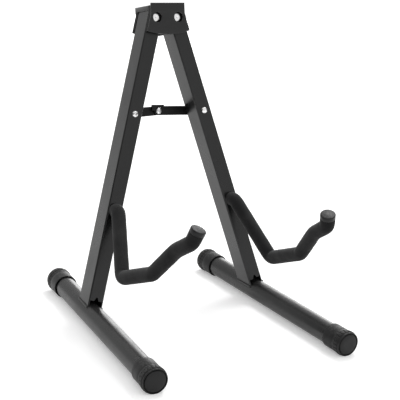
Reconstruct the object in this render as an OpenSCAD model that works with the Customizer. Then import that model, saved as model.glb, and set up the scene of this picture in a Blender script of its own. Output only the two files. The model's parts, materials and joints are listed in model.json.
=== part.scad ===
// Folding A-frame guitar stand: two rectangular-tube legs hinged in a head,
// round base tubes with rubber caps, bent support arms in foam, and a
// two-link brace that straightens behind the legs when the stand is open.
// Millimetres. The stand rests on z = 0, -Y is the front, where the guitar sits.

/* [Stance] */
// Length of a leg from the base tube's axis to its pivot
leg_len = 379; // [300:1:460]
// Half of the angle between the open legs
spread = 16.3; // [13:0.1:19]
// Backward lean of the leg plane from the vertical
lean = 13; // [8:0.5:18]
// Outward turn of each base tube towards the front
splay = 3; // [0:0.5:4]

/* [Legs] */
// Width of the leg tube, across the stand
leg_w = 20; // [16:0.5:24]
// Depth of the leg tube, front to back
leg_d = 31; // [24:0.5:38]
// Wall of the leg tube
leg_wall = 1.5; // [1.2:0.1:2.5]
// Outer corner radius of the leg tube
leg_corner = 2; // [1:0.25:3]
// Length of the leg above its pivot
leg_top = 6.5; // [6:0.25:8]
// Gap between the foot of the leg's front wall and the base tube
toe_gap = 1.5; // [0.5:0.25:3]
// Width of the drain notch in that wall
notch_w = 6; // [4:0.5:8]
// Height of the drain notch above the base tube
notch_h = 6; // [4:0.5:10]

/* [Hinge head] */
// Distance between the two pivots
pivot_gap = 30; // [28:0.5:40]
// Width of the head at its top
head_w = 48; // [46:0.5:70]
// Height of the front plate above the pivots
head_up = 18; // [17:0.5:24]
// Depth of the plates below the pivots, at their sides
head_down = 17; // [12:0.5:22]
// Height above the pivots at which the plates' sides start to widen
head_kink = 5; // [3:0.5:8]
// Extra depth of the plates at the middle of their curved lower edge
head_belly = 4.5; // [2:0.25:8]
// Thickness of the steel plates
plate_t = 2; // [1.5:0.25:3]
// Thickness of the nylon bearing pads
pad_t = 4.7; // [4:0.1:7]
// Thickness of the bridge over the legs
bridge_t = 6; // [4:0.25:8]
// Diameter of the pivot pins
pin_d = 8; // [6:0.25:8.5]
// Diameter of the pin heads
pin_head_d = 12; // [10.5:0.25:13]
// Thickness of the pin heads
pin_head_t = 1; // [0.8:0.1:1.5]
// Nylon left under a pin head
pad_floor = 1.2; // [1:0.1:2]

/* [Base] */
// Outer diameter of the base tubes
base_d = 27; // [24:0.5:33]
// Wall of the base tubes
base_wall = 1.5; // [1.2:0.1:2.5]
// Reach of a base in front of its leg
reach_front = 205; // [160:1:240]
// Reach of a base behind its leg
reach_rear = 117; // [90:1:150]
// Rubber round the tube inside a cap
cap_wall = 2; // [1.5:0.25:3]
// Length of a cap
cap_len = 32; // [25:0.5:45]
// Thickness of a cap's closed end
cap_end = 4; // [3:0.25:6]
// Depth of the flat that a cap stands on
cap_flat = 0.5; // [0.3:0.05:0.8]
// Size of the weld between leg and base tube
weld = 2.2; // [1.5:0.1:3]

/* [Arms] */
// Diameter of the steel arm rod
rod_d = 10; // [8:0.5:12]
// Diameter of the foam sleeve
foam_d = 18; // [16:0.5:19]
// Height of the arm's root on the leg, from the base axis
arm_height = 130.5; // [120:0.5:160]
// Length of the round cap at the arm's end
arm_cap_len = 6; // [5:0.25:9]

/* [Brace] */
// Height of the brace on the leg, from the base axis
brace_height = 254.4; // [230:0.5:290]
// Rise of the middle joint above the outer ones
brace_rise = 2; // [1:0.25:4]
// Height of a link's bar
link_w = 12; // [10:0.5:16]
// Thickness of a link's bar
link_t = 3; // [2:0.25:4]
// Height of the stop lip on the right link
lip_h = 1.6; // [1:0.1:3]
// Length of the stop lip
lip_len = 17.5; // [12:0.5:24]
// Diameter of the brace rivets
rivet_d = 6; // [4.5:0.25:6.5]
// Diameter of the rivet heads
rivet_head_d = 8; // [7:0.25:10]
// Height of the domed rivet heads
rivet_dome = 2.2; // [1.5:0.1:3]
// Thickness of the rivet tails
rivet_tail = 1.4; // [1:0.1:2]

/* [Clearances] */
// Radial running clearance of a pin or rivet in its bore
run = 0.1; // [0.05:0.01:0.1]
// Side clearance between pieces that swing past each other
side = 0.3; // [0.2:0.05:0.5]
// Gap between the foam and what it ends against
foam_gap = 0.3; // [0.2:0.05:0.6]

/* [Hidden] */
$fn = 64;

// Sides of the stand
LEFT = -1;
RIGHT = 1;

// Stance: the leg plane passes through both base axes and leans back
pivot_x = pivot_gap / 2;
foot_x = pivot_x + leg_len * sin(spread);
pivot_v = leg_len * cos(spread);
cap_d = base_d + 2 * cap_wall;
base_z = cap_d / 2 - cap_flat;
foot_y = (reach_front - reach_rear) * cos(splay) / 2;

// Hinge head, measured from the pivots along the leg plane
leg_crown = leg_w / 2 * sin(spread) + leg_top * cos(spread);
bridge_low = leg_crown + run;
bridge_top = bridge_low + bridge_t;
gap_half = leg_d / 2 + side;
plate_in = gap_half + pad_t;
plate_out = plate_in + plate_t;
bridge_tab = 6;
bridge_narrow = head_w - 2 * bridge_tab;
skirt_x = head_w / 2 + (head_down + head_kink) * tan(spread);
pin_seat = gap_half + pad_floor;
sleeve_wall = 1.2;

// Brace, measured in the leg plane
joint_x = foot_x - brace_height * sin(spread);
joint_v = brace_height * cos(spread);
link_len = norm([joint_x, brace_rise]);
link_angle = atan(brace_rise / joint_x);
thin_washer = 0.6;
lip_before = lip_len * 0.45;
link_right_y = leg_d / 2 + thin_washer + run;
link_left_y = link_right_y + link_t + side;

// Arm path as [forward of the leg axis, up the leg], and the bend at each corner
arm_path = [[leg_wall - leg_d / 2, arm_height],
            [24.6, arm_height],
            [73.2, arm_height - 78.5],
            [146.5, arm_height - 64],
            [190, arm_height - 32],
            [221.5, arm_height - 20],
            [230, arm_height - 4]];
arm_bend = [0, 10, 11, 14, 45, 10, 0];
seam_step = 0.04;
seam_lap = 0.25;
foam_start = leg_d / 2 + foam_gap;

// ---- Placing ----------------------------------------------------------------

// Leg plane: X across, Z up the lean, -Y to the front, from the base axes
module leg_plane() translate([0, foot_y, base_z]) rotate([-lean, 0, 0]) children();

// Along one leg: Z runs up the leg from the base axis
module on_leg(s) leg_plane() translate([s * foot_x, 0, 0]) rotate([0, -s * spread, 0]) children();

// Along one base tube: -Y runs to its front end
module on_base(s) translate([s * foot_x, foot_y, base_z]) rotate([0, 0, s * splay]) children();

// A cylinder along Y from y0 to y1
module rod_y(d, y0, y1) translate([0, y0, 0]) rotate([-90, 0, 0]) cylinder(h = y1 - y0, d = d);

// A plate of a flat outline in X and Z, from y0 to y1
module plate_y(y0, y1) translate([0, y1, 0]) rotate([90, 0, 0]) linear_extrude(height = y1 - y0) children();

// ---- Bent bars --------------------------------------------------------------

function heading(p, i) = (p[i + 1] - p[i]) / norm(p[i + 1] - p[i]);
function turn(p, i) = let (a = heading(p, i - 1), b = heading(p, i))
    atan2(a[0] * b[1] - a[1] * b[0], a * b);
function inner(p, i) = i > 0 && i < len(p) - 1;
function setback(p, r, i) = inner(p, i) ? r[i] * tan(abs(turn(p, i)) / 2) : 0;

// A round bar of diameter d through the points p, in X and Y, with a bend r at each corner.
// A bend is a hair thinner than the straights and runs a little way into them, so that they fuse.
module bent_bar(p, r, d) {
    for (i = [0 : len(p) - 2]) {
        h = heading(p, i);
        start = p[i] + h * setback(p, r, i);
        length = norm(p[i + 1] - p[i]) - setback(p, r, i) - setback(p, r, i + 1);
        translate(start) rotate([0, 0, atan2(h[1], h[0])]) rotate([0, 90, 0]) cylinder(h = length, d = d);
    }
    for (i = [1 : len(p) - 2]) {
        h = heading(p, i - 1);
        bend = turn(p, i);
        way = sign(bend);
        lap = atan(seam_lap / r[i]);
        centre = p[i] - h * setback(p, r, i) + r[i] * way * [-h[1], h[0]];
        from = atan2(h[1], h[0]) - 90 * way + min(bend, 0) - lap;
        translate(centre) rotate([0, 0, from]) rotate_extrude(angle = abs(bend) + 2 * lap)
            translate([r[i], 0]) circle(d = d - seam_step);
    }
}

// Stands a bar drawn in X (forward) and Y (up the leg) on the leg
module stand_up() rotate([90, 0, -90]) children();

// The arm's path from the place x on its first straight to the place cut short of its end
function arm_from(x, cut) = let (n = len(arm_path) - 1)
    [for (i = [0 : n]) i == 0 ? [x, arm_height]
                     : i == n ? arm_path[n] - cut * heading(arm_path, n - 1)
                     : arm_path[i]];

// ---- Hinge head -------------------------------------------------------------

// Plate outline up to the height up: straight top sides, then along the open legs, then a shallow arc
module head_outline(up) {
    belly_r = (pow(skirt_x, 2) + pow(head_belly, 2)) / (2 * head_belly);
    low = -head_down - head_belly - 1;
    intersection() {
        translate([0, belly_r - head_down - head_belly]) circle(r = belly_r, $fn = 256);
        polygon([[-head_w / 2, up], [head_w / 2, up], [head_w / 2, head_kink], [skirt_x, -head_down],
                 [skirt_x, low], [-skirt_x, low], [-skirt_x, -head_down], [-head_w / 2, head_kink]]);
    }
}

module at_pivots() for (s = [LEFT, RIGHT]) translate([s * pivot_x, 0, 0]) children();

module in_head() leg_plane() translate([0, 0, pivot_v]) children();

module hinge_head() color([0.13, 0.13, 0.14]) in_head() difference() {
    union() {
        plate_y(-plate_out, -plate_in) head_outline(head_up);
        plate_y(plate_in, plate_out) head_outline(bridge_top);
        translate([-head_w / 2, -gap_half, bridge_low]) cube([head_w, gap_half + plate_in, bridge_t]);
        translate([-bridge_narrow / 2, -plate_in, bridge_low]) cube([bridge_narrow, pad_t, bridge_t]);
    }
    at_pivots() rod_y(pin_head_d + 2 * side, -plate_out - 1, plate_out + 1);
}

module hinge_pad_front() color([0.05, 0.05, 0.05]) in_head() difference() {
    plate_y(-plate_in, -gap_half) head_outline(bridge_top);
    translate([-bridge_narrow / 2, -plate_in - 1, bridge_low]) cube([bridge_narrow, pad_t + 2, bridge_t + 1]);
    at_pivots() rod_y(pin_d, -plate_in - 1, -gap_half + 1);
    at_pivots() rod_y(pin_head_d + 2 * side, -plate_in - 1, -pin_seat);
}

module hinge_pad_rear() color([0.05, 0.05, 0.05]) in_head() difference() {
    plate_y(gap_half, plate_in) head_outline(bridge_low);
    at_pivots() rod_y(pin_d, gap_half - 1, plate_in + 1);
    at_pivots() rod_y(pin_head_d + 2 * side, pin_seat, plate_in + 1);
}

module pivot_pin(s) color([0.85, 0.85, 0.86]) in_head() translate([s * pivot_x, 0, 0]) {
    rod_y(pin_d, -pin_seat, pin_seat);
    rod_y(pin_head_d, -pin_seat - pin_head_t, -pin_seat);
    rod_y(pin_head_d, pin_seat, pin_seat + pin_head_t);
}

// Steel tube across the leg, which keeps its walls apart and turns on the pin
module pivot_sleeve(s) color([0.6, 0.6, 0.62]) on_leg(s) translate([0, 0, leg_len]) difference() {
    rod_y(pin_d + 2 * run + 2 * sleeve_wall, -leg_d / 2, leg_d / 2);
    rod_y(pin_d + 2 * run, -leg_d, leg_d);
}

// ---- Legs and base ----------------------------------------------------------

module rounded_square(w, d, r) {
    square([w - 2 * r, d], center = true);
    square([w, d - 2 * r], center = true);
    for (x = [-1, 1], y = [-1, 1]) translate([x * (w / 2 - r), y * (d / 2 - r)]) circle(r = r);
}

module leg(s) color([0.15, 0.15, 0.16]) difference() {
    on_leg(s) difference() {
        linear_extrude(height = leg_len + leg_top) rounded_square(leg_w, leg_d, leg_corner);
        translate([0, 0, -1]) linear_extrude(height = leg_len + leg_top + 2)
            rounded_square(leg_w - 2 * leg_wall, leg_d - 2 * leg_wall, max(leg_corner - leg_wall, 0.3));
        translate([0, 0, leg_len]) rod_y(pin_d + 2 * run + 2 * sleeve_wall, -leg_d, leg_d);
        translate([0, 0, brace_height]) rod_y(rivet_d + 2 * sleeve_wall, -leg_d, leg_d);
        translate([0, 0, arm_height]) rod_y(rod_d, -leg_d, 0);
        plate_y(-leg_d, leg_wall - leg_d / 2) toe_opening();
    }
    on_base(s) rod_y(base_d, -2 * leg_d, 2 * leg_d);
}

// Opening at the foot of the leg's front wall, above the base tube: a level gap with a pointed notch
module toe_opening() {
    inner = leg_w / 2 - leg_wall;
    low = base_d / 2 + toe_gap;
    translate([-inner, 0]) square([2 * inner, low]);
    polygon([[-notch_w / 2, 0], [notch_w / 2, 0], [notch_w / 2, low], [notch_w / 6, base_d / 2 + notch_h],
             [-notch_w / 6, base_d / 2 + notch_h], [-notch_w / 2, low]]);
}

// Bead round the foot of the leg, on top of the base tube, open at the front
module leg_weld(s) color([0.12, 0.12, 0.13]) difference() {
    intersection() {
        on_leg(s) linear_extrude(height = base_d)
            rounded_square(leg_w + 2 * weld, leg_d + 2 * weld, leg_corner + weld);
        on_base(s) rod_y(base_d + 2 * weld, -2 * leg_d, 2 * leg_d);
    }
    on_leg(s) translate([0, 0, -1]) linear_extrude(height = base_d + 2)
        rounded_square(leg_w, leg_d, leg_corner);
    on_leg(s) translate([leg_corner - leg_w / 2, -leg_d, 0])
        cube([leg_w - 2 * leg_corner, leg_d, base_d]);
    on_base(s) rod_y(base_d, -2 * leg_d, 2 * leg_d);
}

module base_tube(s) color([0.2, 0.2, 0.21]) on_base(s) difference() {
    rod_y(base_d, -reach_front + cap_end, reach_rear - cap_end);
    rod_y(base_d - 2 * base_wall, -reach_front, reach_rear);
}

// A rubber cap on the end of a base tube; way is -1 at the front and 1 at the rear
module foot_cap(s, way) color([0.07, 0.07, 0.07]) on_base(s)
    translate([0, way < 0 ? -reach_front : reach_rear, 0]) scale([1, -way, 1]) difference() {
        rod_y(cap_d, 0, cap_len);
        rod_y(base_d, cap_end, cap_len + 1);
        translate([-cap_d / 2, -1, -cap_d]) cube([cap_d, cap_len + 2, cap_d - base_z]);
    }

// ---- Arms -------------------------------------------------------------------

module arm_rod(s) color([0.2, 0.2, 0.21]) on_leg(s) stand_up()
    bent_bar(arm_from(arm_path[0][0], arm_cap_len / 2), arm_bend, rod_d);

module arm_foam(s) color([0.08, 0.08, 0.08]) on_leg(s) stand_up() difference() {
    bent_bar(arm_from(foam_start, arm_cap_len), arm_bend, foam_d);
    bent_bar(arm_from(foam_start - 1, arm_cap_len - 1), arm_bend, rod_d);
}

module arm_cap(s) color([0.1, 0.1, 0.1]) on_leg(s) stand_up()
    translate(arm_path[len(arm_path) - 1]) rotate([0, 0, arm_end_angle()]) rotate([0, -90, 0]) difference() {
        cylinder(h = arm_cap_len, d = foam_d);
        translate([0, 0, arm_cap_len / 2]) cylinder(h = arm_cap_len, d = rod_d);
    }

function arm_end_angle() = let (h = heading(arm_path, len(arm_path) - 2)) atan2(h[1], h[0]);

// ---- Brace ------------------------------------------------------------------

// A link's bar from its leg joint at the origin along X, with round ends
module link_bar() {
    translate([0, -link_w / 2]) square([link_len, link_w]);
    circle(d = link_w);
    translate([link_len, 0]) circle(d = link_w);
}

module on_link(s) leg_plane() translate([s * joint_x, 0, joint_v]) rotate([0, s * link_angle, 0])
    mirror([s > 0 ? 1 : 0, 0, 0]) children();

module brace_link_left() color([0.1, 0.1, 0.11]) on_link(LEFT) difference() {
    plate_y(link_left_y, link_left_y + link_t) link_bar();
    rod_y(rivet_d + 2 * run, link_left_y - 1, link_left_y + link_t + 1);
    translate([link_len, 0, 0]) rod_y(rivet_d, link_left_y - 1, link_left_y + link_t + 1);
}

module brace_link_right() color([0.06, 0.06, 0.06]) on_link(RIGHT) difference() {
    plate_y(link_right_y, link_right_y + link_t) {
        link_bar();
        translate([link_len - lip_before, 0]) square([lip_len, link_w / 2 + lip_h]);
    }
    rod_y(rivet_d + 2 * run, link_right_y - 1, link_right_y + link_t + 1);
    translate([link_len, 0, 0]) rod_y(rivet_d, link_right_y - 1, link_right_y + link_t + 1);
}

// A domed rivet head whose flat side faces +Y at y
module dome(y) translate([0, y, 0]) rotate([90, 0, 0]) intersection() {
    dome_r = (pow(rivet_head_d / 2, 2) + pow(rivet_dome, 2)) / (2 * rivet_dome);
    translate([0, 0, rivet_dome - dome_r]) sphere(r = dome_r);
    cylinder(h = rivet_dome, d = rivet_head_d);
}

// The outer rivet runs from the leg's front face to the back of its link
module brace_rivet(s, back) color([0.75, 0.75, 0.76]) on_leg(s) translate([0, 0, brace_height]) {
    rod_y(rivet_d, -leg_d / 2, back + run);
    dome(-leg_d / 2);
    rod_y(rivet_head_d + 1, back + run, back + run + rivet_tail);
}

module brace_rivet_mid() color([0.75, 0.75, 0.76]) on_link(RIGHT) translate([link_len, 0, 0]) {
    rod_y(rivet_d, link_right_y, link_right_y + link_t);
    dome(link_right_y);
}

module brace_tail_mid() color([0.75, 0.75, 0.76]) on_link(LEFT) translate([link_len, 0, 0]) {
    rod_y(rivet_d, link_left_y, link_left_y + link_t);
    rod_y(rivet_head_d + 1, link_left_y + link_t, link_left_y + link_t + rivet_tail);
}

module brace_sleeve(s) color([0.6, 0.6, 0.62]) on_leg(s) translate([0, 0, brace_height]) difference() {
    rod_y(rivet_d + 2 * sleeve_wall, -leg_d / 2, leg_d / 2);
    rod_y(rivet_d, -leg_d, leg_d);
}

// Washer between the leg's rear face and its link
module brace_washer(s, t) color([0.6, 0.6, 0.62]) on_leg(s) translate([0, 0, brace_height]) difference() {
    rod_y(link_w - 1, leg_d / 2, leg_d / 2 + t);
    rod_y(rivet_d, 0, leg_d);
}

// ---- Nodes ------------------------------------------------------------------

hinge_head();
hinge_pad_front();
hinge_pad_rear();
pivot_pin(LEFT);  // pivot_pin_left
pivot_pin(RIGHT);  // pivot_pin_right
pivot_sleeve(LEFT);  // pivot_sleeve_left
pivot_sleeve(RIGHT);  // pivot_sleeve_right
leg(LEFT);  // leg_left
leg(RIGHT);  // leg_right
leg_weld(LEFT);  // leg_weld_left
leg_weld(RIGHT);  // leg_weld_right
base_tube(LEFT);  // base_tube_left
base_tube(RIGHT);  // base_tube_right
foot_cap(LEFT, -1);  // foot_cap_front_left
foot_cap(LEFT, 1);  // foot_cap_rear_left
foot_cap(RIGHT, -1);  // foot_cap_front_right
foot_cap(RIGHT, 1);  // foot_cap_rear_right
arm_rod(LEFT);  // arm_rod_left
arm_rod(RIGHT);  // arm_rod_right
arm_foam(LEFT);  // arm_foam_left
arm_foam(RIGHT);  // arm_foam_right
arm_cap(LEFT);  // arm_cap_left
arm_cap(RIGHT);  // arm_cap_right
brace_link_left();
brace_link_right();
brace_rivet(LEFT, link_left_y + link_t);  // brace_rivet_left
brace_rivet(RIGHT, link_right_y + link_t);  // brace_rivet_right
brace_rivet_mid();
brace_tail_mid();
brace_sleeve(LEFT);  // brace_sleeve_left
brace_sleeve(RIGHT);  // brace_sleeve_right
brace_washer(LEFT, link_left_y - leg_d / 2 - run);  // brace_washer_left
brace_washer(RIGHT, thin_washer);  // brace_washer_right
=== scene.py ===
# %% [markdown]
# # A folding guitar stand
# The stand is two rectangular steel legs hinged in a head, each welded to a round base tube with rubber
# caps. Foam-covered arms hold the guitar, and a two-link brace behind the legs sets how far they open.
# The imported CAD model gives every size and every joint. This script gives the looks, one piece at a time.

# %% Load the frame
import json
import math
import bmesh
import bpy
import numpy as np
from mathutils import Matrix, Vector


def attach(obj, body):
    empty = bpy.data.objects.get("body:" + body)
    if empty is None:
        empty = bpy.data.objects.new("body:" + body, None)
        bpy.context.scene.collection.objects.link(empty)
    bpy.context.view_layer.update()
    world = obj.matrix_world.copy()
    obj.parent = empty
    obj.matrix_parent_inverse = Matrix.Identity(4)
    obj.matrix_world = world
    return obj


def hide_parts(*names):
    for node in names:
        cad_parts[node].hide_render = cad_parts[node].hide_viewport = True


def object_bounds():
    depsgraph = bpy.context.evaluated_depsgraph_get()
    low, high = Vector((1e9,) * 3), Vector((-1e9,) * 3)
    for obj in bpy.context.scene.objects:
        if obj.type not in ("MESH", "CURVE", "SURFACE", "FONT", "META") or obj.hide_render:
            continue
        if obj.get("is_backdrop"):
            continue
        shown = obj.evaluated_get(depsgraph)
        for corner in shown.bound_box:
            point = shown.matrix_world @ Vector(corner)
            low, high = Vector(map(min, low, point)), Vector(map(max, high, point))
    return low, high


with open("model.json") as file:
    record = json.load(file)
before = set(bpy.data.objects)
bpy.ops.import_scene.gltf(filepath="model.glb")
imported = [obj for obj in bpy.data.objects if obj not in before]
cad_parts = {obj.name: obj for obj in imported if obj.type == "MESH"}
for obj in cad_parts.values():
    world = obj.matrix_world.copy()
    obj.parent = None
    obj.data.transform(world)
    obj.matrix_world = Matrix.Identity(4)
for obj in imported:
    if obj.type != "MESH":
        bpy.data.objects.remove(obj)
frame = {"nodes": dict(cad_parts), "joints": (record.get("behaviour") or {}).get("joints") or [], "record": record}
cad_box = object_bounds()
MM = 0.001
nodes = frame["nodes"]
joints = {joint["name"]: joint for joint in frame["joints"]}
print("CAD box in mm:", [[round(v / MM, 1) for v in corner] for corner in cad_box])

# %% [markdown]
# ## Where things are
# Everything on the stand lines up with a few directions: out of the leaning plane of the legs, up each leg
# and along each base tube. They could be typed in as angles, but then they could drift from the CAD model.
# Here they are read from the joints and from the boxes of the CAD nodes, so they always agree.

# %% Directions and measuring
SIDES = ("left", "right")
FRONT = np.array(joints["left_fold"]["axis"], float)


def spots(node):
    """The vertices of a CAD node, as rows of x, y and z."""
    mesh = nodes[node].data
    flat = np.empty(len(mesh.vertices) * 3, np.float32)
    mesh.vertices.foreach_get("co", flat)
    return flat.reshape(-1, 3).astype(float)


def reach(node, origin, direction):
    """Least and greatest distance of a node from the origin along the direction: the dot products' ends."""
    far = (spots(node) - origin) @ direction
    return far.min(), far.max()


def middle(node):
    """The centre of a node's box."""
    points = spots(node)
    return (points.min(0) + points.max(0)) / 2


def unit(v):
    """The vector divided by its own length."""
    return v / np.linalg.norm(v)


pivot = {side: np.array(joints[side + "_fold"]["pos_m"]) for side in SIDES}
brace = {side: np.array(joints["brace_" + side + "_fold"]["pos_m"]) for side in SIDES}
leg_up = {side: unit(pivot[side] - brace[side]) for side in SIDES}
base_z = middle("base_tube_left")[2]
foot = {side: pivot[side] - leg_up[side] * (pivot[side][2] - base_z) / leg_up[side][2] for side in SIDES}
across = {side: np.cross(-FRONT, leg_up[side]) for side in SIDES}
base_front = {}
for side in SIDES:
    base_front[side] = unit(middle("foot_cap_front_" + side) - middle("foot_cap_rear_" + side))
    print(side, "foot in mm:", (foot[side] / MM).round(1), "leg direction:", leg_up[side].round(4))

# %% [markdown]
# ## Turning points into a mesh
# Each new piece is a grid of points: one row for each ring, one column for each step round it. A loop over
# faces would be slow, so the faces are whole arrays of numbers too. A closed skin encloses a positive
# volume when its faces point outwards, and that is the test used to turn the faces the right way.

# %% Grid to mesh
SHARP = math.radians(40)


def outward(points, faces):
    """Faces turned to point outwards: the sum of each triangle's a . (b x c) is six times the volume."""
    tri = np.array([[f[0], f[i], f[i + 1]] for f in faces for i in range(1, len(f) - 1)])
    a, b, c = points[tri[:, 0]], points[tri[:, 1]], points[tri[:, 2]]
    volume = np.einsum("ij,ij->i", a, np.cross(b, c)).sum()
    return faces if volume > 0 else [f[::-1] for f in faces]


def build(name, points, faces):
    """A smooth-shaded object from points and faces, in place, with its object at the origin."""
    mesh = bpy.data.meshes.new(name)
    mesh.from_pydata(points.tolist(), [], faces)
    mesh.polygons.foreach_set("use_smooth", np.ones(len(mesh.polygons), bool))
    mesh.set_sharp_from_angle(angle=SHARP)
    made = bpy.data.objects.new(name, mesh)
    bpy.context.scene.collection.objects.link(made)
    print(f"{name}: {len(mesh.vertices)} vertices, {len(mesh.polygons)} faces")
    return made


def skin(name, grid):
    """A closed skin over rings of points: quads between rings, and a fan from each end ring to its mean."""
    rows, cols = grid.shape[:2]
    i, j = np.meshgrid(np.arange(rows - 1), np.arange(cols), indexing="ij")
    k = (j + 1) % cols
    quads = np.stack([i * cols + j, i * cols + k, (i + 1) * cols + k, (i + 1) * cols + j], -1).reshape(-1, 4)
    ring = np.arange(cols)
    turn = (ring + 1) % cols
    last = (rows - 1) * cols
    first_fan = np.stack([np.full(cols, rows * cols), turn, ring], -1)
    last_fan = np.stack([np.full(cols, rows * cols + 1), last + ring, last + turn], -1)
    points = np.vstack([grid.reshape(-1, 3), grid[0].mean(0), grid[-1].mean(0)])
    faces = outward(points, quads.tolist() + first_fan.tolist() + last_fan.tolist())
    return build(name, points, faces)


# %% [markdown]
# ## Turned pieces
# Pins, rivets and caps are all turned shapes: one outline spun round an axis. Blender's Spin or a Screw
# modifier could do that, but a formula keeps full control of rounded corners and of raised pads later on.

# %% Turning an outline
def turned(outline, origin, axis, steps=64):
    """Rings of an outline of (along, radius) spun about the axis: origin + along * axis + radius * ray."""
    along, radius = np.array(outline, float).T * MM
    side_ray = unit(np.cross(axis, [1.0, 0.3, 0.2]))
    other_ray = np.cross(axis, side_ray)
    turn = np.linspace(0, 2 * np.pi, steps, endpoint=False)
    rays = np.cos(turn)[:, None] * side_ray + np.sin(turn)[:, None] * other_ray
    return origin + along[:, None, None] * axis + radius[:, None, None] * rays


def fillet(along, radius, size, start, end, steps=6):
    """A quarter round about (along, radius): points at size times (cos, sin) from start to end degrees."""
    turn = np.radians(np.linspace(start, end, steps))
    return [(along + size * c, radius + size * s) for c, s in zip(np.cos(turn), np.sin(turn))]


# %% [markdown]
# ## Materials from small groups
# Real finishes share a few effects: a coat's fine grain, worn corners, smudges from hands, dust on top.
# Each one is a node group with named inputs and outputs, built once. A material then puts groups together
# and keeps its own Principled shader, so the same wear suits paint, rubber or steel.

# %% Node helpers
def add(tree, kind, inputs=None, **settings):
    """Adds a shader node. inputs gives a value, or another node's output to link, for each input."""
    made = tree.nodes.new("ShaderNode" + kind)
    for name, value in settings.items():
        setattr(made, name, value)
    for key, value in (inputs or {}).items():
        if isinstance(value, bpy.types.NodeSocket):
            tree.links.new(value, made.inputs[key])
        else:
            made.inputs[key].default_value = value
    return made


def sums(tree, operation, a, b=0.0, clamp=False):
    """One Math node's result."""
    return add(tree, "Math", {0: a, 1: b}, operation=operation, use_clamp=clamp).outputs[0]


def span(tree, value, low, high, to_low=0.0, to_high=1.0):
    """The value spread from the range low to high onto the range to_low to to_high, and clamped."""
    settings = {"Value": value, "From Min": low, "From Max": high, "To Min": to_low, "To Max": to_high}
    return add(tree, "MapRange", settings).outputs[0]


def effect(name, inputs, outputs):
    """An empty node group with float inputs (name to default) and float outputs, and its two end nodes."""
    tree = bpy.data.node_groups.new(name, "ShaderNodeTree")
    for label, value in inputs.items():
        tree.interface.new_socket(label, in_out="INPUT", socket_type="NodeSocketFloat").default_value = value
    for label in outputs:
        tree.interface.new_socket(label, in_out="OUTPUT", socket_type="NodeSocketFloat")
    return tree, tree.nodes.new("NodeGroupInput").outputs, tree.nodes.new("NodeGroupOutput").inputs


def use(tree, group, **inputs):
    """Places a group in a tree; a keyword's underscores stand for the spaces of an input's name."""
    made = add(tree, "Group", node_tree=group)
    for label, value in inputs.items():
        made.inputs[label.replace("_", " ")].default_value = value
    return made.outputs


def place(tree):
    """Object coordinates, which are metres on the stand."""
    return add(tree, "TexCoord").outputs["Object"]


# %% [markdown]
# ## Coat grain
# Powder coat melts into a skin with a soft orange peel and a fine speckle. A real bump map could be
# painted, but two sizes of noise added together look the same at any distance and need no image.

# %% The grain group
def make_coat_grain():
    """Height = coarse noise + a third of fine noise; Speckle = the fine noise stretched to full contrast."""
    defaults = {"Peel Scale": 420.0, "Speckle Scale": 2600.0}
    tree, given, result = effect("coat grain", defaults, ("Height", "Speckle"))
    where = place(tree)
    peel = add(tree, "TexNoise", {"Vector": where, "Scale": given["Peel Scale"], "Detail": 2.0}).outputs[0]
    fine = add(tree, "TexNoise", {"Vector": where, "Scale": given["Speckle Scale"], "Detail": 1.0}).outputs[0]
    tree.links.new(sums(tree, "ADD", peel, sums(tree, "MULTIPLY", fine, 0.33)), result["Height"])
    tree.links.new(span(tree, fine, 0.35, 0.65), result["Speckle"])
    return tree


coat_grain = make_coat_grain()
print("group:", coat_grain.name)

# %% [markdown]
# ## Worn corners
# Handling polishes corners first. Blender's Bevel node gives the normal that a rounded corner would have;
# where it differs from the true normal, there is an edge. Noise then breaks the band into patches.

# %% The wear group
def make_corner_wear():
    """Mask = (1 - rounded normal . true normal) times Gain, cut by noise so that it comes in patches."""
    defaults = {"Radius": 0.0012, "Gain": 6.0, "Patch Scale": 90.0}
    tree, given, result = effect("corner wear", defaults, ("Mask",))
    rounded = add(tree, "Bevel", {"Radius": given["Radius"]}, samples=4).outputs[0]
    true = add(tree, "NewGeometry").outputs["Normal"]
    match = add(tree, "VectorMath", {0: rounded, 1: true}, operation="DOT_PRODUCT").outputs["Value"]
    edge = sums(tree, "MULTIPLY", sums(tree, "SUBTRACT", 1.0, match), given["Gain"], clamp=True)
    settings = {"Vector": place(tree), "Scale": given["Patch Scale"], "Detail": 4.0}
    patch = add(tree, "TexNoise", settings).outputs[0]
    tree.links.new(sums(tree, "MULTIPLY", edge, span(tree, patch, 0.42, 0.62)), result["Mask"])
    return tree


corner_wear = make_corner_wear()
print("group:", corner_wear.name)

# %% [markdown]
# ## Smudges and dust
# Hands leave wide, soft smudges that change how sharply a surface shines. Dust settles on what faces up.
# Both are masks, so each material decides what they do to its own colour and roughness.

# %% The smudge and dust groups
def make_smudges():
    """Mask = wide noise with a little warp, stretched to full contrast."""
    tree, given, result = effect("smudges", {"Scale": 14.0}, ("Mask",))
    settings = {"Vector": place(tree), "Scale": given["Scale"], "Detail": 5.0, "Distortion": 0.6}
    tree.links.new(span(tree, add(tree, "TexNoise", settings).outputs[0], 0.4, 0.68), result["Mask"])
    return tree


def make_dust():
    """Mask = how far the normal points up, times fine noise, times Amount."""
    tree, given, result = effect("settled dust", {"Amount": 0.5, "Scale": 700.0}, ("Mask",))
    normal = add(tree, "NewGeometry").outputs["Normal"]
    up = span(tree, add(tree, "SeparateXYZ", {0: normal}).outputs[2], 0.55, 1.0)
    specks = add(tree, "TexNoise", {"Vector": place(tree), "Scale": given["Scale"], "Detail": 3.0}).outputs[0]
    fall = sums(tree, "MULTIPLY", up, span(tree, specks, 0.45, 0.75))
    tree.links.new(sums(tree, "MULTIPLY", fall, given["Amount"]), result["Mask"])
    return tree


smudges = make_smudges()
dust = make_dust()
print("groups:", smudges.name, "and", dust.name)

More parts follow.
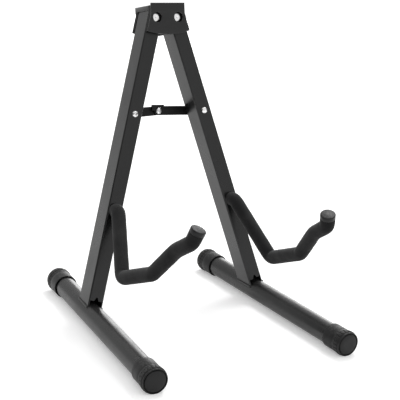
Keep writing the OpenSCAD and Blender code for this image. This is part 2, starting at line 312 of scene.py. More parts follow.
# %% [markdown]
# ## Painted shade in recesses
# Wells, grooves and joints are painted darker, as shade that falls in them. Ambient occlusion measures how
# much of the sky a point sees within a short distance, and the colour is darkened where it sees little.

# %% The painted recess shade group
def make_painted_recess_shade():
    """Painted shade mask = 1 - the share of open sky within Distance, stretched so that open faces get none."""
    tree, given, result = effect("painted_recess_shade", {"Distance": 0.002}, ("Mask",))
    open_sky = add(tree, "AmbientOcclusion", {"Distance": given["Distance"]}, samples=6).outputs["AO"]
    tree.links.new(span(tree, open_sky, 0.45, 0.9, 1.0, 0.0), result["Mask"])
    return tree


painted_recess_shade = make_painted_recess_shade()
print("group:", painted_recess_shade.name)

# %% [markdown]
# ## Foam cells
# Closed-cell foam is cut or moulded, and shows tiny pits where cells are open. Voronoi cells have that
# look: the distance to the nearest cell centre makes the pits, and a second size stops them from repeating.
# The pits are also painted darker, as the shade inside them.

# %% The foam group
def make_foam_cells():
    """Height = the nearer of two sizes of cell distance; Pit Shade = painted shade, dark where the distance is
    small.
    """
    tree, given, result = effect("foam cells", {"Cell Scale": 900.0}, ("Height", "Pit Shade"))
    where = place(tree)
    small = add(tree, "TexVoronoi", {"Vector": where, "Scale": given["Cell Scale"]}).outputs["Distance"]
    coarse = sums(tree, "MULTIPLY", given["Cell Scale"], 0.37)
    wide = add(tree, "TexVoronoi", {"Vector": where, "Scale": coarse}).outputs["Distance"]
    height = sums(tree, "MINIMUM", small, sums(tree, "MULTIPLY", wide, 1.4))
    tree.links.new(height, result["Height"])
    tree.links.new(span(tree, height, 0.08, 0.3, 1.0, 0.0), result["Pit Shade"])
    return tree


foam_cells = make_foam_cells()
print("group:", foam_cells.name)

# %% [markdown]
# ## Black powder coat
# The frame is black powder coat: almost no colour of its own, so its tone is what it mirrors. The base
# colour stays near black, and roughness carries the grain, smudges and dust. Worn corners go grey.

# %% Paint
def new_material(name, **shader_values):
    """A material with a Principled shader; the keywords set its plain sockets, underscores for spaces."""
    made = bpy.data.materials.new(name)
    made.use_nodes = True
    tree = made.node_tree
    shader = tree.nodes["Principled BSDF"]
    for label, value in shader_values.items():
        shader.inputs[label.replace("_", " ")].default_value = value
    return made, tree, shader.inputs


def blend_colours(tree, mask, below, above):
    """The colour below where the mask is 0, and the colour above where it is 1."""
    mixed = add(tree, "Mix", {0: mask}, data_type="RGBA")
    for socket, colour in ((mixed.inputs[6], below), (mixed.inputs[7], above)):
        if isinstance(colour, bpy.types.NodeSocket):
            tree.links.new(colour, socket)
        else:
            socket.default_value = (*colour, 1.0)
    return mixed.outputs[2]


def bump(tree, height, strength, distance):
    """A Bump node's normal: the surface seems to rise by the height times the distance, in metres."""
    settings = {"Height": height, "Strength": strength, "Distance": distance}
    return add(tree, "Bump", settings).outputs[0]


def coat(name, colour, roughness, peel=0.12, wear=0.5, dusty=0.3, specular=0.45):
    """Powder coat: grain in the bump, smudges in the roughness, grey at worn corners, dust on top."""
    made, tree, surface = new_material(name, Specular_IOR_Level=specular)
    grain = use(tree, coat_grain)
    hands = use(tree, smudges, Scale=16.0)["Mask"]
    worn = use(tree, corner_wear, Gain=5.0)["Mask"]
    fallen = use(tree, dust, Amount=dusty)["Mask"]
    speck = span(tree, grain["Speckle"], 0.3, 1.0, 0.0, 0.7)
    base = blend_colours(tree, speck, colour, [c * 3.0 for c in colour])
    rubbed = blend_colours(tree, sums(tree, "MULTIPLY", worn, wear), base, (0.10, 0.10, 0.10))
    tree.links.new(blend_colours(tree, fallen, rubbed, (0.16, 0.155, 0.15)), surface["Base Color"])
    rough = sums(tree, "ADD", span(tree, hands, 0.0, 1.0, roughness - 0.03, roughness + 0.07),
                 sums(tree, "MULTIPLY", fallen, 0.35))
    tree.links.new(rough, surface["Roughness"])
    tree.links.new(bump(tree, grain["Height"], peel, 0.0004), surface["Normal"])
    return made


frame_paint = coat("frame paint", (0.0045, 0.0046, 0.0047), 0.3)
head_paint = coat("head paint", (0.0045, 0.0046, 0.0047), 0.33, wear=0.7, dusty=0.25)
link_paint = coat("link paint", (0.003, 0.003, 0.003), 0.5, peel=0.08, wear=0.5, dusty=0.15, specular=0.25)
print("paints:", frame_paint.name, head_paint.name, link_paint.name)

# %% [markdown]
# ## Foam, rubber, nylon and zinc
# Foam is matte and pitted. Moulded rubber has a faint speckle and lighter scuffs where it meets the floor.
# The nylon pads are plain black. Zinc plate is bright, with fine scratches from the barrel it was plated in.

# %% The other materials
def make_foam():
    """Matte black, with painted shade in the pits and rubbed places a little lighter."""
    made, tree, surface = new_material("arm foam", Specular_IOR_Level=0.2, Sheen_Weight=0.12,
                                       Sheen_Roughness=0.5)
    cells = use(tree, foam_cells, Cell_Scale=1100.0)
    hands = use(tree, smudges, Scale=30.0)["Mask"]
    fallen = use(tree, dust, Amount=0.25)["Mask"]
    handled = sums(tree, "MULTIPLY", hands, 0.6)
    body = blend_colours(tree, handled, (0.012, 0.012, 0.0125), (0.022, 0.022, 0.022))
    # Painted shade: the pits are darkened in the colour.
    pit_shaded = blend_colours(tree, sums(tree, "MULTIPLY", cells["Pit Shade"], 0.75), body, (0.006, 0.006, 0.006))
    tree.links.new(blend_colours(tree, fallen, pit_shaded, (0.12, 0.12, 0.115)), surface["Base Color"])
    tree.links.new(span(tree, hands, 0.0, 1.0, 0.86, 0.72), surface["Roughness"])
    tree.links.new(bump(tree, cells["Height"], 0.35, 0.0003), surface["Normal"])
    return made


def make_moulded(name, colour, roughness, scuff, dusty):
    """Moulded rubber or nylon: speckled bump, scuffed corners, a trace of dust and painted shade in grooves."""
    made, tree, surface = new_material(name, Specular_IOR_Level=0.26)
    grain = use(tree, coat_grain, Peel_Scale=900.0, Speckle_Scale=3200.0)
    worn = use(tree, corner_wear, Radius=0.0008, Gain=4.0, Patch_Scale=160.0)["Mask"]
    hands = use(tree, smudges, Scale=26.0)["Mask"]
    fallen = use(tree, dust, Amount=dusty, Scale=500.0)["Mask"]
    speck = span(tree, grain["Speckle"], 0.0, 1.0, 0.0, 0.5)
    base = blend_colours(tree, speck, colour, [c * 1.6 for c in colour])
    rubbed = blend_colours(tree, sums(tree, "MULTIPLY", worn, scuff), base, (0.09, 0.09, 0.088))
    dusted = blend_colours(tree, fallen, rubbed, (0.2, 0.195, 0.19))
    # Painted shade: grooves and wells where little sky is seen go almost black in the colour.
    shaded = use(tree, painted_recess_shade, Distance=0.0018)["Mask"]
    tree.links.new(blend_colours(tree, shaded, dusted, (0.0005, 0.0005, 0.0005)), surface["Base Color"])
    tree.links.new(span(tree, hands, 0.0, 1.0, roughness - 0.06, roughness + 0.1), surface["Roughness"])
    tree.links.new(bump(tree, grain["Height"], 0.22, 0.0003), surface["Normal"])
    return made


def make_zinc(name, tone, roughness):
    """Bright plate: metal with thin scratches in the roughness, a faint yellow in wide patches and painted shade
    in its wells.
    """
    made, tree, surface = new_material(name, Metallic=1.0)
    where = place(tree)
    squeeze = add(tree, "Mapping", {"Vector": where, "Scale": (3000.0, 3000.0, 260.0)}).outputs[0]
    scratch = add(tree, "TexNoise", {"Vector": squeeze, "Scale": 1.0, "Detail": 2.0}).outputs[0]
    patch = use(tree, smudges, Scale=120.0)["Mask"]
    warm = (tone, tone * 0.985, tone * 0.94)
    plate = blend_colours(tree, sums(tree, "MULTIPLY", patch, 0.5), (tone, tone, tone * 1.01), warm)
    # Painted shade: wells where little sky is seen are darkened in the colour.
    recess_shade_mask = use(tree, painted_recess_shade, Distance=0.0016)["Mask"]
    tree.links.new(blend_colours(tree, recess_shade_mask, plate, (0.02, 0.02, 0.02)), surface["Base Color"])
    tree.links.new(span(tree, scratch, 0.3, 0.7, roughness, roughness + 0.14), surface["Roughness"])
    tree.links.new(bump(tree, scratch, 0.06, 0.0002), surface["Normal"])
    return made


arm_foam = make_foam()
cap_rubber = make_moulded("cap rubber", (0.012, 0.012, 0.0122), 0.5, 0.6, 0.35)
arm_cap_rubber = make_moulded("arm cap rubber", (0.012, 0.012, 0.0122), 0.42, 0.3, 0.3)
nylon = make_moulded("pad nylon", (0.004, 0.004, 0.004), 0.7, 0.2, 0.1)
bright_zinc = make_zinc("bright zinc", 0.9, 0.16)
plain_zinc = make_zinc("plain zinc", 0.4, 0.3)
finishes = {"frame_paint": frame_paint, "head_paint": head_paint, "link_paint": link_paint, "nylon": nylon,
            "pin_steel": bright_zinc, "plain_steel": plain_zinc, "foam": arm_foam,
            "arm_cap_plastic": arm_cap_rubber, "cap_rubber": cap_rubber}
print("finishes:", len(finishes))

# %% [markdown]
# ## Finishing the CAD nodes
# The legs, base tubes, arms and small washers already have their true shape from CAD, so they only take
# their finish. Each new piece goes through one helper that gives it its finish and its body, and hides the
# CAD node it stands in for.

# %% Finishes on nodes and pieces
slot_of = {row["node"]: row["material_slot"] for row in frame["record"]["subparts"]}
body_of = {name: body for body, names in frame["record"]["behaviour"]["bodies"].items() for name in names}
for name, cad_node in nodes.items():
    cad_node.material_slots[0].material = finishes[slot_of[name]]


def fit(piece, node):
    """The piece stands in for a CAD node: it takes the finish of the node's slot and rides on its body, and the
    node is hidden.
    """
    piece.data.materials.clear()
    piece.data.materials.append(finishes[slot_of[node]])
    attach(piece, body_of[node])
    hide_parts(node)
    return piece


print("CAD nodes with a finish:", len(nodes))

# %% [markdown]
# ## Softened plates
# Pressed steel and moulded pads never have knife edges, and it is the narrow highlight along an edge that
# makes it look real. These pieces have holes, so a formula would be long. A copy of the CAD node is
# merged, its flat faces are joined up, and a Bevel modifier rounds every edge.

# %% Head, pads and links
def softened(node, width, segments=3):
    """A copy of a CAD node with merged points, whole flat faces and every edge rounded by the width."""
    mesh = nodes[node].data.copy()
    mesh.name = "soft_" + node
    shape = bmesh.new()
    shape.from_mesh(mesh)
    bmesh.ops.remove_doubles(shape, verts=shape.verts, dist=0.002 * MM)
    bmesh.ops.dissolve_limit(shape, angle_limit=math.radians(0.5), verts=shape.verts, edges=shape.edges)
    shape.to_mesh(mesh)
    shape.free()
    mesh.polygons.foreach_set("use_smooth", np.ones(len(mesh.polygons), bool))
    made = bpy.data.objects.new("soft_" + node, mesh)
    bpy.context.scene.collection.objects.link(made)
    edges = made.modifiers.new("rounded edges", "BEVEL")
    edges.width, edges.segments, edges.limit_method, edges.angle_limit = width, segments, "ANGLE", SHARP
    edges.harden_normals = True
    print(f"{made.name}: {len(mesh.polygons)} faces before rounding")
    fit(made, node)


for node, width in (("hinge_head", 0.45), ("hinge_pad_front", 0.4), ("hinge_pad_rear", 0.4),
                    ("brace_link_left", 0.35), ("brace_link_right", 0.35)):
    softened(node, width * MM)

# %% [markdown]
# ## Pivot pins
# Each pivot is a plain pin with a low round head at both ends, sunk in the head's pockets. The head is
# slightly crowned and has a small centre dimple left by the press, so it catches light as a ring.

# %% Pins
PIN_SHANK, PIN_HEAD, PIN_HEAD_THICK = 4.0, 5.4, 1.0     # radius, radius and thickness in mm


def pin_outline(low, high, shank, head, thick):
    """Half outline of a double-headed pin: crowned heads with rounded rims, dimpled centres and a shank."""
    crown = 0.35
    top = [(high + crown - 0.5, 0.0), (high + crown - 0.4, 0.8), (high + crown, 1.5), (high + 0.2, 3.8)]
    rim = fillet(high - 0.35, head - 0.35, 0.35, 20, 90)
    neck = [(high - thick, head - 0.05), (high - thick, shank)]
    half = top + rim + neck
    centre = (low + high) / 2
    return half + [(2 * centre - along, radius) for along, radius in reversed(half)]


for side in SIDES:
    node = "pivot_pin_" + side
    low, high = (end / MM for end in reach(node, pivot[side], FRONT))
    outline = pin_outline(low, high, PIN_SHANK, PIN_HEAD, PIN_HEAD_THICK)
    fit(skin("pin_" + side, turned(outline, pivot[side], FRONT, 72)), node)

# %% [markdown]
# ## Brace rivets
# The left and middle rivets are semi-tubular: their heads keep a round well in the middle. The right one
# has a plain dome. The middle rivet is in two pieces, because its head rides on one link and its tail on
# the other.

# %% Rivets
RIVET_SHANK, DOME_HEAD, DOME_RISE, WELL = 3.0, 4.1, 2.2, 1.7     # mm; all but the rise are radii
TAIL_HEAD, TAIL_THICK, TAIL_DIMPLE = 4.5, 1.4, 0.5


def dome_outline(base, head, rise, well):
    """A low dome: radius = head * cos(t), along = base + rise * sin(t), with an optional well in its top."""
    turn = np.radians(np.linspace(8, 90, 12))
    dome = [(base + rise * s, head * c) for s, c in zip(np.sin(turn), np.cos(turn))]
    if well:
        lip = [point for point in dome if point[1] > well + 0.25]
        floor = base + rise * 0.25
        dome = lip + fillet(base + rise * 0.86, well + 0.2, 0.2, 0, -90, 4)
        dome += [(floor + 0.2, well), (floor, well - 0.25), (floor, 0.0)]
    return [(base, head - 0.08), (base + 0.1, head)] + dome


def tail_outline(back):
    """The formed tail: a flat disc with a rounded rim and a shallow dimple, from its rim to its centre."""
    rim = fillet(back + 0.4, TAIL_HEAD - 0.4, 0.4, 90, 180)
    dimple = [(back, 1.9), (back + TAIL_DIMPLE, 1.1), (back + TAIL_DIMPLE, 0.0)]
    return [(back + TAIL_THICK, TAIL_HEAD - 0.05)] + rim + dimple


def rivet(side, well):
    """One outer rivet: dome in front of the leg, shank through the leg, tail behind the link."""
    node = "brace_rivet_" + side
    low, high = (end / MM for end in reach(node, brace[side], FRONT))
    face = high - DOME_RISE
    front = dome_outline(face, DOME_HEAD, DOME_RISE, well)[::-1]
    outline = front + [(face, RIVET_SHANK), (low + TAIL_THICK, RIVET_SHANK)] + tail_outline(low)
    fit(skin("rivet_" + side, turned(outline, brace[side], FRONT, 56)), node)


rivet("left", WELL)
rivet("right", 0.0)
mid = middle("brace_tail_mid")
mid_low, mid_high = (end / MM for end in reach("brace_rivet_mid", mid, FRONT))
mid_face = mid_high - DOME_RISE
head_and_shank = dome_outline(mid_face, DOME_HEAD, DOME_RISE, WELL)[::-1]
head_and_shank += [(mid_face, RIVET_SHANK), (mid_low, RIVET_SHANK), (mid_low, 0.0)]
fit(skin("rivet_mid", turned(head_and_shank, mid, FRONT, 56)), "brace_rivet_mid")
tail_low, tail_high = (end / MM for end in reach("brace_tail_mid", mid, FRONT))
tail = [(tail_high, 0.0), (tail_high, RIVET_SHANK), (tail_low + TAIL_THICK, RIVET_SHANK)]
tail += tail_outline(tail_low)
fit(skin("rivet_tail_mid", turned(tail, mid, FRONT, 56)), "brace_tail_mid")

# %% [markdown]
# ## A line with bends
# Each arm is a steel rod bent in one plane. Its middle line is straights joined by arcs, and both the foam
# and its cap are placed from that line, so they can never part. The corners and bends are the CAD model's
# own, typed here again, so an arm of another shape has to be changed in both.

# %% The arm's middle line
ARM_CORNERS = np.array([[15.8, 130.5], [24.6, 130.5], [73.2, 52.0], [146.5, 66.5],
                        [190.0, 98.5], [221.5, 110.5], [230.0, 126.5]]) * MM
ARM_BENDS = np.array([0.0, 10.0, 11.0, 14.0, 45.0, 10.0, 0.0]) * MM
ARM_CAP = 6.0 * MM     # the length of line that the cap covers


def bent_line(corners, bends, step=0.25 * MM):
    """Points of straights joined by arcs. A bend of radius r that turns by a starts r * tan(a / 2) before
    its corner, and its points are centre + r * (cos, sin) as the angle goes round by a."""
    runs = np.diff(corners, axis=0)
    angle = np.unwrap(np.arctan2(runs[:, 1], runs[:, 0]))
    parts, start = [], corners[0]
    for i in range(1, len(corners)):
        heading = np.array([math.cos(angle[i - 1]), math.sin(angle[i - 1])])
        swing = angle[i] - angle[i - 1] if i < len(angle) else 0.0
        end = corners[i] - heading * bends[i] * math.tan(abs(swing) / 2)
        share = np.linspace(0, 1, max(2, int(np.linalg.norm(end - start) / step)), endpoint=False)[:, None]
        parts.append(start + share * (end - start))
        start = end
        if swing:
            left = np.array([-heading[1], heading[0]]) * np.sign(swing)
            centre = end + left * bends[i]
            turn = np.linspace(0, swing, max(8, int(abs(swing) * bends[i] / step)))[:, None]
            c, s = np.cos(turn), np.sin(turn)
            ray = end - centre
            arc = centre + np.hstack([ray[0] * c - ray[1] * s, ray[0] * s + ray[1] * c])
            parts.append(arc[:-1])
            start = arc[-1]
    return np.vstack(parts + [start[None]])


arm_line = bent_line(ARM_CORNERS, ARM_BENDS)
arm_steps = np.linalg.norm(np.diff(arm_line, axis=0), axis=1)
arm_far = np.concatenate([[0.0], np.cumsum(arm_steps)])
arm_angle = np.unwrap(np.arctan2(np.gradient(arm_line[:, 1]), np.gradient(arm_line[:, 0])))
print("arm line:", len(arm_line), "points,", round(arm_far[-1] / MM, 1), "mm long")

# %% [markdown]
# ## Foam sleeves
# The foam is a soft tube pushed over the rod. Where the rod bends tightly, the foam bunches into fine folds
# on the inside and thins on the outside, and its cut ends are slightly rounded. A plain swept circle shows
# none of that, so here the radius of each ring is a formula of the place along the arm and the way round.

# %% Foam
FOAM_R = 9.0 * MM
FOLD_DEPTH, FOLD_PITCH = 0.35 * MM, 0.42 * MM
THINNING, WAVE_HEIGHT, WAVE_PITCH = 0.25 * MM, 0.10 * MM, 9.0 * MM


def foam_rings(side, columns=72):
    """Rings about the arm's line: centre + r * (cos(t) * inward + sin(t) * across), where r is the foam's
    radius less the rounded ends, less folds on the inside of bends, plus a slow, slight waviness."""
    length = arm_far[-1] - ARM_CAP
    ends = np.array([0.0, 0.05, 0.15, 0.3, 0.5, 0.75]) * MM
    far = np.concatenate([ends, np.arange(1.0 * MM, length - 1.0 * MM, 0.7 * MM), length - ends[::-1]])
    centre = np.stack([np.interp(far, arm_far, arm_line[:, i]) for i in (0, 1)], -1)
    angle = np.interp(far, arm_far, arm_angle)
    bend = np.interp(far, arm_far, np.gradient(arm_angle, arm_far)) * FOAM_R
    turn = np.linspace(0, 2 * np.pi, columns, endpoint=False)
    inside = np.clip(np.cos(turn)[None, :] * np.sign(bend)[:, None], 0, 1) ** 2
    tight = np.clip(np.abs(bend), 0, 1)[:, None]
    folds = FOLD_DEPTH * tight * inside * (0.6 + 0.4 * np.sin(far / FOLD_PITCH)[:, None])
    thin = THINNING * tight * np.clip(-np.cos(turn)[None, :] * np.sign(bend)[:, None], 0, 1)
    twist = 2 * turn + 40 * far[:, None] / (200 * MM)
    wave = WAVE_HEIGHT * np.sin(far / WAVE_PITCH)[:, None] * np.cos(twist)
    edge = 0.75 * MM
    to_end = np.clip(np.minimum(far, length - far), 0, edge)
    rounding = edge - np.sqrt(edge ** 2 - (edge - to_end) ** 2)
    radius = FOAM_R - rounding[:, None] - folds - thin + wave
    inward = np.cos(angle)[:, None] * leg_up[side] - np.sin(angle)[:, None] * FRONT
    spot = foot[side] + centre[:, :1] * FRONT + centre[:, 1:] * leg_up[side]
    ray = np.cos(turn)[None, :, None] * inward[:, None] + np.sin(turn)[None, :, None] * across[side]
    return spot[:, None] + radius[..., None] * ray


for side in SIDES:
    sleeve = fit(skin("foam_" + side, foam_rings(side)), "arm_foam_" + side)

# %% [markdown]
# ## Caps on the arms
# A moulded cap closes each arm. It is as thick as the foam, with a small step where it meets the foam, a
# rounded rim and a top that is a little crowned, so its end shows as a lighter disc.

# %% Arm caps
ARM_CAP_R = 9.15     # mm


def arm_cap_outline(length, radius):
    """From the centre of the joint face out to the rim, along the side and over the crown."""
    joint = [(0.15, 0.0), (0.15, 7.4), (0.15, radius - 0.7)] + fillet(0.6, radius - 0.45, 0.45, 180, 90, 4)
    rim = fillet(length - 1.3, radius - 1.3, 1.3, 90, 12, 8)
    crown = [(length + 0.05, radius - 3.0), (length + 0.35, 4.0), (length + 0.45, 2.0), (length + 0.5, 0.0)]
    return joint + rim + crown


end_turn = arm_angle[-1]
for side in SIDES:
    heading = math.cos(end_turn) * FRONT + math.sin(end_turn) * leg_up[side]
    tip = foot[side] + arm_line[-1][0] * FRONT + arm_line[-1][1] * leg_up[side]
    outline = arm_cap_outline(ARM_CAP / MM, ARM_CAP_R)
    rings = turned(outline, tip - heading * ARM_CAP, heading, 72)
    fit(skin("arm_cap_end_" + side, rings), "arm_cap_" + side)

# %% [markdown]
# ## Rubber caps on the base
# Each base cap is moulded: a flat end with a thin ring groove, a row of raised grip pads, a smooth band and
# a flared mouth that stands clear of the tube. The pads are not cut in afterwards. The cap is one grid,
# and its radius is raised by a smooth-edged pattern of the way round and the place along the cap.

# %% Base caps
CAP_R, TUBE_R, CAP_LENGTH = 15.35, 13.5, 32.0     # mm
PADS, PAD_STEPS, PAD_RISE = 20, 12, 0.85     # pads round the cap, columns to each pad, height in mm


def step_up(x, low, high, blur):
    """1 between low and high and 0 outside, with straight slopes of the blur's width."""
    return np.clip((x - low) / blur + 0.5, 0, 1) * np.clip((high - x) / blur + 0.5, 0, 1)


def base_cap_outline():
    """From the centre of the outer face, over the ring groove and rim, along the side and into the bore."""
    face = [(0.35, 0.0), (0.3, 6.0), (0.15, 12.7), (0.3, 12.95), (2.2, 13.05), (2.2, 14.1), (0.3, 14.2)]
    rim = fillet(0.9, CAP_R - 0.9, 0.9, 180, 90, 7)
    side = [(along, CAP_R) for along in np.arange(1.5, 12.1, 0.3)] + [(13.0, CAP_R)]
    band = [(13.6, CAP_R - 0.25), (14.2, CAP_R - 0.25), (14.8, CAP_R), (20.0, CAP_R), (28.0, CAP_R)]
    mouth = fillet(CAP_LENGTH - 0.4, CAP_R - 0.4, 0.4, 90, 0, 5)
    bore = [(CAP_LENGTH - 0.1, CAP_R - 0.7), (CAP_LENGTH - 3.6, CAP_R - 0.8), (CAP_LENGTH - 4.0, TUBE_R + 0.06),
            (4.2, TUBE_R + 0.06), (4.0, TUBE_R - 0.3), (4.0, 0.0)]
    return face + rim + side + band + mouth + bore


def base_cap_rings(side, way, columns=PADS * PAD_STEPS):
    """The turned outline, with its side raised by the pads. What would be under the floor is brought up."""
    inward = base_front[side] * (-1 if way == "front" else 1)
    low, _ = reach(f"foot_cap_{way}_{side}", foot[side], inward)
    origin = foot[side] + inward * low
    outline = np.array(base_cap_outline())
    rings = turned(outline, origin, inward, columns)
    centre = origin + outline[:, :1] * MM * inward
    turn = (np.arange(columns) + 0.5) / PAD_STEPS % 1.0
    on_side = outline[:, 1] > CAP_R - 0.1
    row = step_up(outline[:, 0], 3.4, 8.6, 0.6) * on_side
    short_row = 0.6 * step_up(outline[:, 0], 9.6, 11.2, 0.6) * on_side
    pads = row[:, None] * step_up(turn, 0.1, 0.9, 0.1) + short_row[:, None] * step_up(turn, 0.3, 0.7, 0.12)
    ray = rings - centre[:, None]
    radius = np.linalg.norm(ray, axis=2, keepdims=True)
    rings = rings + ray / np.maximum(radius, 1e-9) * pads[..., None] * PAD_RISE * MM
    rings[..., 2] = np.maximum(rings[..., 2], 0.0)
    return rings


for side in SIDES:
    for way in ("front", "rear"):
        fit(skin(f"base_cap_{way}_{side}", base_cap_rings(side, way)), f"foot_cap_{way}_{side}")

# %% [markdown]
# ## Weld beads
# A bead of weld joins each leg to its base tube round three sides, and coat covers it. A bead is a row of
# overlapping drops, so its radius ripples along its length. Its line is found exactly: each point of the
# leg's outline is slid down the leg until it is one tube radius from the base tube's axis.

# %% Weld beads
LEG_W, LEG_D, LEG_CORNER = 20.0, 31.0, 2.0     # mm
BEAD_R, BEAD_END, DROP_PITCH = 1.5 * MM, 1.6 * MM, 1.9 * MM


def leg_outline(step=0.4):
    """Three sides of the leg's rounded outline as (across, forward): from the front left round the back."""
    w, d, r = LEG_W / 2, LEG_D / 2, LEG_CORNER

    def arc(x, y, start):
        turn = np.radians(np.linspace(start, start + 90, 8))
        return np.stack([x + r * np.cos(turn), y + r * np.sin(turn)], -1)

    down = np.arange(d - r, r - d, -step)
    over = np.arange(r - w, w - r, step)
    left = np.stack([np.full(len(down), -w), down], -1)
    back = np.stack([over, np.full(len(over), -d)], -1)
    right = np.stack([np.full(len(down), w), down[::-1]], -1)
    front_left = arc(r - w, d - r, 90)[3:]
    front_right = arc(w - r, d - r, 0)[:5]
    rear_left = arc(r - w, r - d, 180)
    rear_right = arc(w - r, r - d, 270)
    return np.vstack([front_left, left, rear_left, back, rear_right, right, front_right])


def bead_rings(side, columns=16):
    """Rings along the weld line: the line plus r * (cos(t) * out + sin(t) * sideways), r rippling."""
    flat = leg_outline() * MM
    start = flat[:, :1] * across[side] + flat[:, 1:] * FRONT
    axis, up = base_front[side], leg_up[side]
    w = start - (start @ axis)[:, None] * axis
    u = up - (up @ axis) * axis
    a, b, c = u @ u, w @ u, (w * w).sum(1) - (TUBE_R * MM) ** 2
    slide = (-b + np.sqrt(np.maximum(b * b - a * c, 0))) / a
    line = foot[side] + start + slide[:, None] * up
    out = (w + slide[:, None] * u) / (TUBE_R * MM)
    run = np.gradient(line, axis=0)
    run /= np.linalg.norm(run, axis=1)[:, None]
    sideways = np.cross(run, out)
    far = np.concatenate([[0.0], np.cumsum(np.linalg.norm(np.diff(line, axis=0), axis=1))])
    to_end = np.minimum(far, far[-1] - far) / BEAD_END
    taper = np.sqrt(np.clip(1 - (1 - np.clip(to_end, 0, 1)) ** 2, 0.05, 1))
    ripple = 1 + 0.1 * np.abs(np.sin(np.pi * far / DROP_PITCH)) + 0.05 * np.sin(far / (5.3 * MM))
    radius = BEAD_R * taper * ripple
    turn = np.linspace(0, 2 * np.pi, columns, endpoint=False)
    ray = np.cos(turn)[None, :, None] * out[:, None] + np.sin(turn)[None, :, None] * sideways[:, None]
    return line[:, None] + radius[:, None, None] * ray


for side in SIDES:
    fit(skin("weld_bead_" + side, bead_rings(side)), "leg_weld_" + side)

# %% [markdown]
# ## Floor, light and camera
# The setting is that of a catalogue page: a white floor without a horizon, light from all round and soft
# shadows to one side. Black coat shows little but reflections, so the bright surroundings matter more
# than any lamp. The floor glows a little, so that it stays white where the light falls off.

# %% Floor and world
SQUARE = ((-1, -1), (1, -1), (1, 1), (-1, 1))
FLOOR_HALF, FLOOR_WHITE, FLOOR_GLOW = 12.0, 0.93, 0.27
SKY_BELOW, SKY_ABOVE = 0.12, 0.85
floor_mesh = bpy.data.meshes.new("floor")
floor_mesh.from_pydata([(x * FLOOR_HALF, y * FLOOR_HALF, 0) for x, y in SQUARE], [], [(0, 1, 2, 3)])
floor = bpy.data.objects.new("floor", floor_mesh)
bpy.context.scene.collection.objects.link(floor)
floor_white, _, floor_sockets = new_material("white floor", Roughness=0.9, Specular_IOR_Level=0.1)
floor_sockets["Base Color"].default_value = (FLOOR_WHITE, FLOOR_WHITE, FLOOR_WHITE, 1)
floor_sockets["Emission Color"].default_value = (1, 1, 1, 1)
floor_sockets["Emission Strength"].default_value = FLOOR_GLOW
floor.data.materials.append(floor_white)
floor.visible_diffuse = False
floor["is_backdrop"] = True
world = bpy.data.worlds.new("studio")
world.use_nodes = True
sky = world.node_tree
ray_up = add(sky, "SeparateXYZ", {0: add(sky, "TexCoord").outputs["Generated"]}).outputs[2]
backdrop = sky.nodes["Background"].inputs
sky.links.new(span(sky, ray_up, -0.35, -0.01, SKY_BELOW, SKY_ABOVE), backdrop["Strength"])
backdrop["Color"].default_value = (1, 1, 1, 1)
bpy.context.scene.world = world
bpy.context.scene.view_settings.view_transform = "Standard"
print("the surroundings fade from", SKY_ABOVE, "above the floor line to", SKY_BELOW, "below it")

# %% [markdown]
# Two broad lamps stand behind the stand on the right. The high one drops the shadows to the left. The low
# one grazes the tops of the base tubes and makes the pale streaks along them.

# %% Lamps
def facing(at, target):
    """Rays sideways, up and back at a place that looks at the target: back is the unit of at - target."""
    back = unit(np.array(at, float) - np.array(target, float))
    side_ray = unit(np.cross([0, 0, 1], back))
    return side_ray, np.cross(back, side_ray), back


def stood(at, rays):
    """The matrix that gives an object the three rays as its own x, y and z, and the place as its origin."""
    rows = np.stack(rays, 1)
    return Matrix([[*row, along] for row, along in zip(rows, at)] + [[0, 0, 0, 1]])


def lamp(name, at, target, size, power):
    """A square area lamp at a place, turned to face the target."""
    light = bpy.data.lights.new(name, "AREA")
    light.size, light.energy = size, power
    made = bpy.data.objects.new(name, light)
    bpy.context.scene.collection.objects.link(made)
    made.matrix_world = stood(at, facing(at, target))
    made.visible_camera = False


STAND_CENTRE = (0.0, 0.0, 0.15)
lamp("back right lamp", (0.95, 0.7, 1.9), STAND_CENTRE, 0.8, 17.0)
lamp("low streak lamp", (1.7, 2.2, 0.45), STAND_CENTRE, 1.4, 20.0)

# %% [markdown]
# In a bright room a black edge is lost against its own reflections. Two black cards, one on each side of
# the stand, give the legs' edges something dark to reflect, and they show in reflections only.

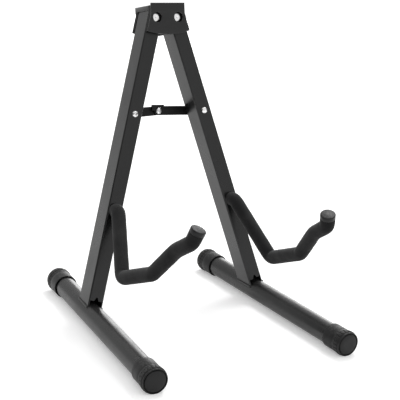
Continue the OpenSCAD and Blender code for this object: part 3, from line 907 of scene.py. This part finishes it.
# %% Black cards
def card(name, at, target, size):
    """A black square at a place, turned to face the target, seen only in reflections."""
    side_ray, up_ray, _ = facing(at, target)
    corners = [np.array(at) + size / 2 * (a * side_ray + b * up_ray) for a, b in SQUARE]
    made = build(name, np.array(corners), [(0, 1, 2, 3)])
    black, _, sockets = new_material(name, Roughness=1.0, Specular_IOR_Level=0.0)
    sockets["Base Color"].default_value = (0, 0, 0, 1)
    made.data.materials.append(black)
    made.visible_camera = made.visible_diffuse = made.visible_shadow = False
    made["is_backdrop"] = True


card("left black card", (-1.15, -0.6, 0.5), STAND_CENTRE, 1.4)
card("right black card", (1.25, 0.2, 0.4), STAND_CENTRE, 1.0)

# %% [markdown]
# The camera looks from the front left, above the stand's top, through a long lens, and it is rolled a few
# degrees. Its directions are worked out from those three angles.

# %% Camera
CAMERA_AT = (-0.6516, -1.1063, 0.5592)
CAMERA_YAW, CAMERA_PITCH, CAMERA_ROLL = (math.radians(a) for a in (30.63, 17.11, 4.01))
LENS, SENSOR = 97.5, 36.0     # mm
level_share = math.cos(CAMERA_PITCH)
ahead = np.array([math.sin(CAMERA_YAW) * level_share, math.cos(CAMERA_YAW) * level_share,
                  -math.sin(CAMERA_PITCH)])
level = np.array([math.cos(CAMERA_YAW), -math.sin(CAMERA_YAW), 0.0])
above = np.cross(level, ahead)
right = level * math.cos(CAMERA_ROLL) + above * math.sin(CAMERA_ROLL)
top = above * math.cos(CAMERA_ROLL) - level * math.sin(CAMERA_ROLL)
camera_data = bpy.data.cameras.new("camera")
camera_data.lens, camera_data.sensor_width = LENS, SENSOR
camera = bpy.data.objects.new("camera", camera_data)
bpy.context.scene.collection.objects.link(camera)
camera.matrix_world = stood(CAMERA_AT, (right, top, -ahead))
bpy.context.scene.camera = camera
print("camera looks along", ahead.round(3))

# %% [markdown]
# The looks should not change the size. How far the finished box has grown past the CAD box is printed, in mm.

# %% Sizes
look_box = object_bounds()
growth = [(b - a) / MM for cad, look in zip(cad_box, look_box) for a, b in zip(cad, look)]
print("grown by, in mm:", [round(v, 2) for v in growth])
